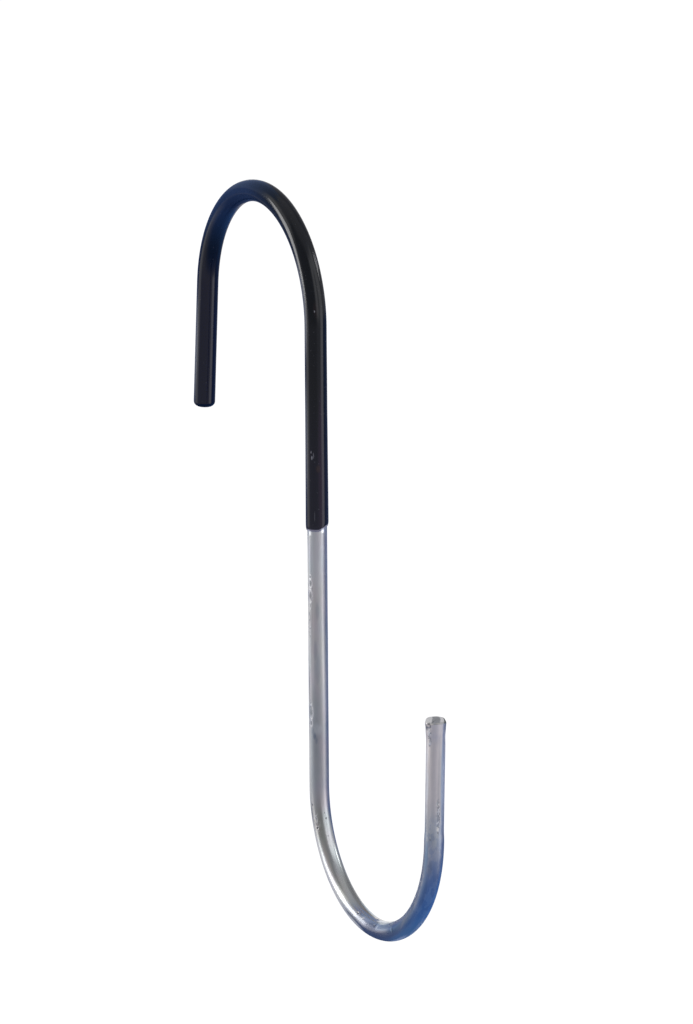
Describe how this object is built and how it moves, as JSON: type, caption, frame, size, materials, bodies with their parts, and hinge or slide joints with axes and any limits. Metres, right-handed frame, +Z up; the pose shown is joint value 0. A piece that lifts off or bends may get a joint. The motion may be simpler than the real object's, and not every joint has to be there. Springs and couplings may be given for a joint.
{
  "type": "s hook",
  "caption": "S-shaped hanging hook bent from round metal rod, with a black vinyl coat over the upper hook and a bare lower hook.",
  "frame": {"origin": "saddle of the top bend: the point of the coat's inner side that rests on a rail", "axes": "+Z up along the upright shank, +X from the coated leg towards the bare leg, the hook lies in the XZ plane"},
  "size_m": [0.1565, 0.007, 0.2198],
  "materials": {
    "bare_steel": "satin drawn steel rod, dull bright, with fine lengthwise draw lines, small scuffs and bending marks",
    "black_vinyl": "smooth semi-gloss black vinyl with a few fine scuffs"
  },
  "bodies": {
    "root": {"steel_rod": "bare_steel", "vinyl_coat": "black_vinyl"}
  },
  "joints": []
}
